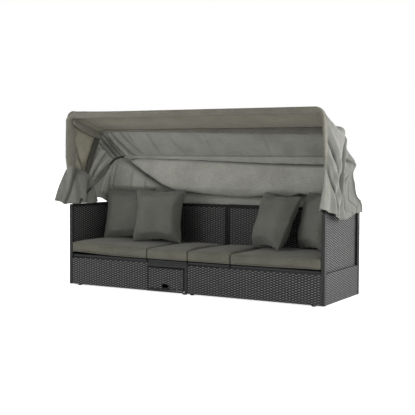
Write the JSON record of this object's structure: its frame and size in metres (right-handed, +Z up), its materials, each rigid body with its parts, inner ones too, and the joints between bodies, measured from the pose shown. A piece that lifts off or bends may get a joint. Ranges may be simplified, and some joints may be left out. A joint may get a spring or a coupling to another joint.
{
  "type": "outdoor daybed with canopy",
  "caption": "Woven patio daybed with flat seat pads, throw pillows, a pull-out drawer and a canopy of cloth gores on three hoops that fold back over the wall",
  "frame": {"origin": "middle of the box that holds the whole daybed, on the floor", "axes": "+X to the right along the seat, +Y from the open front to the back wall, +Z up"},
  "size_m": [2.038, 0.6602, 1.2509],
  "materials": {
    "wicker": "satin",
    "frame_metal": "satin",
    "hoop_metal": "satin",
    "pad_cloth": "matte",
    "pillow_cloth": "matte",
    "canopy_cloth": "matte",
    "steel": "satin",
    "moulded": "matte"
  },
  "bodies": {
    "daybed": {"left_frame": "frame_metal", "right_frame": "frame_metal", "left_front_weave": "wicker", "right_front_weave": "wicker", "left_side_weave": "wicker", "right_side_weave": "wicker", "left_back_weave": "wicker", "right_back_weave": "wicker", "left_backrest_weave": "wicker", "right_backrest_weave": "wicker", "left_arm_frame": "wicker", "right_arm_frame": "wicker", "left_arm_weave": "wicker", "right_arm_weave": "wicker", "left_wide_deck": "wicker", "left_centre_deck": "wicker", "right_centre_deck": "wicker", "right_wide_deck": "wicker", "left_wide_pad": "pad_cloth", "left_centre_pad": "pad_cloth", "right_centre_pad": "pad_cloth", "right_wide_pad": "pad_cloth", "left_back_pillow": "pillow_cloth", "left_front_pillow": "pillow_cloth", "right_front_pillow": "pillow_cloth", "right_back_pillow": "pillow_cloth", "drawer_outer_runner": "steel", "drawer_inner_runner": "steel", "left_outer_front_glide": "moulded", "left_outer_back_glide": "moulded", "left_inner_front_glide": "moulded", "left_inner_back_glide": "moulded", "right_inner_front_glide": "moulded", "right_inner_back_glide": "moulded", "right_outer_front_glide": "moulded", "right_outer_back_glide": "moulded", "front_module_bolt": "steel", "back_module_bolt": "steel", "left_pivot_bracket": "frame_metal", "right_pivot_bracket": "frame_metal", "left_pivot_bolt": "steel", "right_pivot_bolt": "steel", "left_pivot_washer": "moulded", "right_pivot_washer": "moulded"},
    "drawer": {"drawer_front": "wicker", "drawer_box": "moulded"},
    "rear_bow": {"rear_hoop": "hoop_metal", "canopy_back": "canopy_cloth"},
    "mid_bow": {"mid_hoop": "hoop_metal", "canopy_rear_gore": "canopy_cloth"},
    "front_bow": {"front_hoop": "hoop_metal", "canopy_front_gore": "canopy_cloth"}
  },
  "joints": [
    {"name": "drawer_slide", "type": "slide", "parent": "daybed", "child": "drawer", "axis": [0, -1, 0], "range_m": [0, 0.38]},
    {"name": "rear_bow_pivot", "type": "hinge", "parent": "daybed", "child": "rear_bow", "pos_m": [0, -0.23185, 0.608], "axis": [-1, 0, 0], "range_deg": [0, 33.2], "deforming": ["canopy_back"]},
    {"name": "mid_bow_pivot", "type": "hinge", "parent": "rear_bow", "child": "mid_bow", "pos_m": [0, -0.23185, 0.608], "axis": [-1, 0, 0], "range_deg": [0, 24.4], "deforming": ["canopy_rear_gore"]},
    {"name": "front_bow_pivot", "type": "hinge", "parent": "mid_bow", "child": "front_bow", "pos_m": [0, -0.23185, 0.608], "axis": [-1, 0, 0], "range_deg": [0, 30.8], "deforming": ["canopy_front_gore"]}
  ]
}
